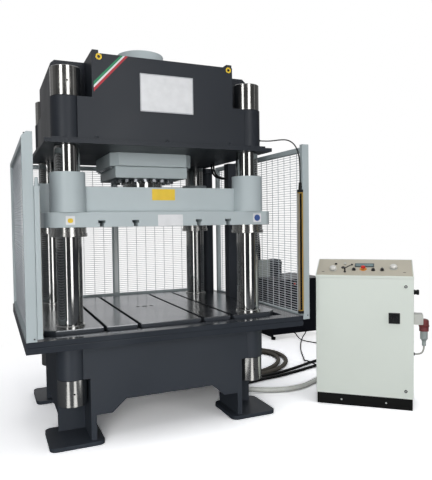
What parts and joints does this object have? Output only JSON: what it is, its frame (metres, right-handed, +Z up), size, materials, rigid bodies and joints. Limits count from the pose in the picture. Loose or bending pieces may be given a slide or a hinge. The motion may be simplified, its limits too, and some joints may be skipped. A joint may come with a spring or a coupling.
{
  "type": "four-column hydraulic press",
  "caption": "Four-column hydraulic press with moving platen, guard screens, power unit on the floor and a control cabinet with a sloping console.",
  "frame": {"origin": "centre of the table's top face", "axes": "+X to the operator's right along the table, +Y towards the back, +Z up"},
  "size_m": [4.04, 3.523, 3.03],
  "materials": {
    "anthracite_paint": "satin paint",
    "machined_steel": "ground steel",
    "column_chrome": "hard chrome, ground",
    "platen_paint": "satin paint",
    "ring_bronze": "turned",
    "guard_paint": "satin paint",
    "guard_wire": "zinc plated wire",
    "curtain_housing": "satin paint",
    "duct_plastic": "moulded",
    "tank_paint": "satin paint",
    "motor_paint": "satin paint",
    "fitting_paint": "satin paint",
    "foot_rubber": "moulded",
    "cabinet_paint": "powder coat",
    "plinth_paint": "powder coat",
    "galvanised_steel": "zinc plated",
    "console_paint": "powder coat",
    "black_plastic": "moulded",
    "lock_metal": "nickel plated",
    "white_plastic": "moulded",
    "red_plastic": "moulded",
    "conduit_plastic": "ribbed",
    "hose_rubber": "smooth",
    "return_hose_rubber": "smooth"
  },
  "bodies": {
    "press": {"base_frame": "anthracite_paint", "bed_ledge": "anthracite_paint", "bed_plate": "machined_steel", "cabinet_gear": "galvanised_steel", "cabinet_glands": "black_plastic", "cabinet_housing": "cabinet_paint", "cabinet_plinth": "plinth_paint", "cable_duct": "duct_plastic", "column_collars": "machined_steel", "columns": "column_chrome", "console_fittings": "black_plastic", "console_panel": "console_paint", "crosshead": "anthracite_paint", "crosshead_flange": "anthracite_paint", "curtain_lead": "hose_rubber", "cylinder_barrel": "platen_paint", "cylinder_bolts": "machined_steel", "cylinder_head_lower": "platen_paint", "cylinder_head_upper": "platen_paint", "duct_leads": "hose_rubber", "floor_conduit": "conduit_plastic", "guard_left_frame": "guard_paint", "guard_left_mesh": "guard_wire", "guard_rear_frame": "guard_paint", "guard_rear_mesh": "guard_wire", "guard_right_frame": "guard_paint", "guard_right_mesh": "guard_wire", "hose_block": "anthracite_paint", "light_curtains": "curtain_housing", "oil_tank": "tank_paint", "plug_lead": "hose_rubber", "power_plug": "red_plastic", "power_socket": "red_plastic", "pressure_pipe": "tank_paint", "pump_motor": "motor_paint", "return_hoses": "return_hose_rubber", "riser_pipe": "guard_paint", "supply_hoses": "hose_rubber", "tank_cables": "hose_rubber", "tank_feet": "foot_rubber", "tank_fittings": "fitting_paint", "tank_lid": "tank_paint", "tie_nuts": "machined_steel"},
    "platen": {"platen_plate": "platen_paint", "platen_frame": "platen_paint", "guide_rings": "ring_bronze", "piston_rod": "column_chrome"},
    "door": {"cabinet_door": "cabinet_paint", "main_switch_plate": "black_plastic"},
    "upper_lock": {"door_lock_upper": "lock_metal"},
    "lower_lock": {"door_lock_lower": "lock_metal"},
    "main_switch": {"main_switch_handle": "black_plastic"},
    "left_palm": {"palm_button_left": "white_plastic"},
    "right_palm": {"palm_button_right": "white_plastic"},
    "stop": {"emergency_stop": "red_plastic"},
    "push": {"push_button": "white_plastic"},
    "lever": {"control_lever": "black_plastic"},
    "left_knob": {"selector_left": "black_plastic"},
    "middle_knob": {"selector_middle": "black_plastic"},
    "right_knob": {"selector_right": "black_plastic"}
  },
  "joints": [
    {"name": "platen_slide", "type": "slide", "parent": "press", "child": "platen", "axis": [0, 0, 1], "range_m": [-0.6, 0]},
    {"name": "door_hinge", "type": "hinge", "parent": "press", "child": "door", "pos_m": [1.34476, -0.67529, -0.255], "axis": [0, 0, -1], "range_deg": [0, 80]},
    {"name": "upper_lock_turn", "type": "hinge", "parent": "door", "child": "upper_lock", "pos_m": [1.89587, -1.15707, 0.182], "axis": [-0.6582, -0.7529, 0], "range_deg": [0, 90]},
    {"name": "lower_lock_turn", "type": "hinge", "parent": "door", "child": "lower_lock", "pos_m": [1.89587, -1.15707, -0.691], "axis": [-0.6582, -0.7529, 0], "range_deg": [0, 90]},
    {"name": "main_switch_turn", "type": "hinge", "parent": "door", "child": "main_switch", "pos_m": [1.82736, -1.09717, -0.085], "axis": [0.6582, 0.7529, 0], "range_deg": [0, 90]},
    {"name": "left_palm_press", "type": "slide", "parent": "press", "child": "left_palm", "axis": [0.25, 0.286, -0.925], "range_m": [0, 0.008], "stiffness_N_per_m": 1500, "springref_m": -0.004},
    {"name": "right_palm_press", "type": "slide", "parent": "press", "child": "right_palm", "axis": [0.25, 0.286, -0.925], "range_m": [0, 0.008], "stiffness_N_per_m": 1500, "springref_m": -0.004},
    {"name": "stop_press", "type": "slide", "parent": "press", "child": "stop", "axis": [0.25, 0.286, -0.925], "range_m": [0, 0.006]},
    {"name": "push_press", "type": "slide", "parent": "press", "child": "push", "axis": [0.25, 0.286, -0.925], "range_m": [0, 0.003], "stiffness_N_per_m": 800, "springref_m": -0.002},
    {"name": "lever_turn", "type": "hinge", "parent": "press", "child": "lever", "pos_m": [1.55887, -0.79199, 0.29112], "axis": [-0.25, -0.286, 0.925], "range_deg": [-30, 30]},
    {"name": "left_knob_turn", "type": "hinge", "parent": "press", "child": "left_knob", "pos_m": [1.63893, -0.81284, 0.30631], "axis": [-0.25, -0.286, 0.925], "range_deg": [-45, 45]},
    {"name": "middle_knob_turn", "type": "hinge", "parent": "press", "child": "middle_knob", "pos_m": [1.75757, -0.92023, 0.30517], "axis": [-0.25, -0.286, 0.925], "range_deg": [0, 60]},
    {"name": "right_knob_turn", "type": "hinge", "parent": "press", "child": "right_knob", "pos_m": [1.81374, -0.96688, 0.30593], "axis": [-0.25, -0.286, 0.925], "range_deg": [0, 60]}
  ]
}
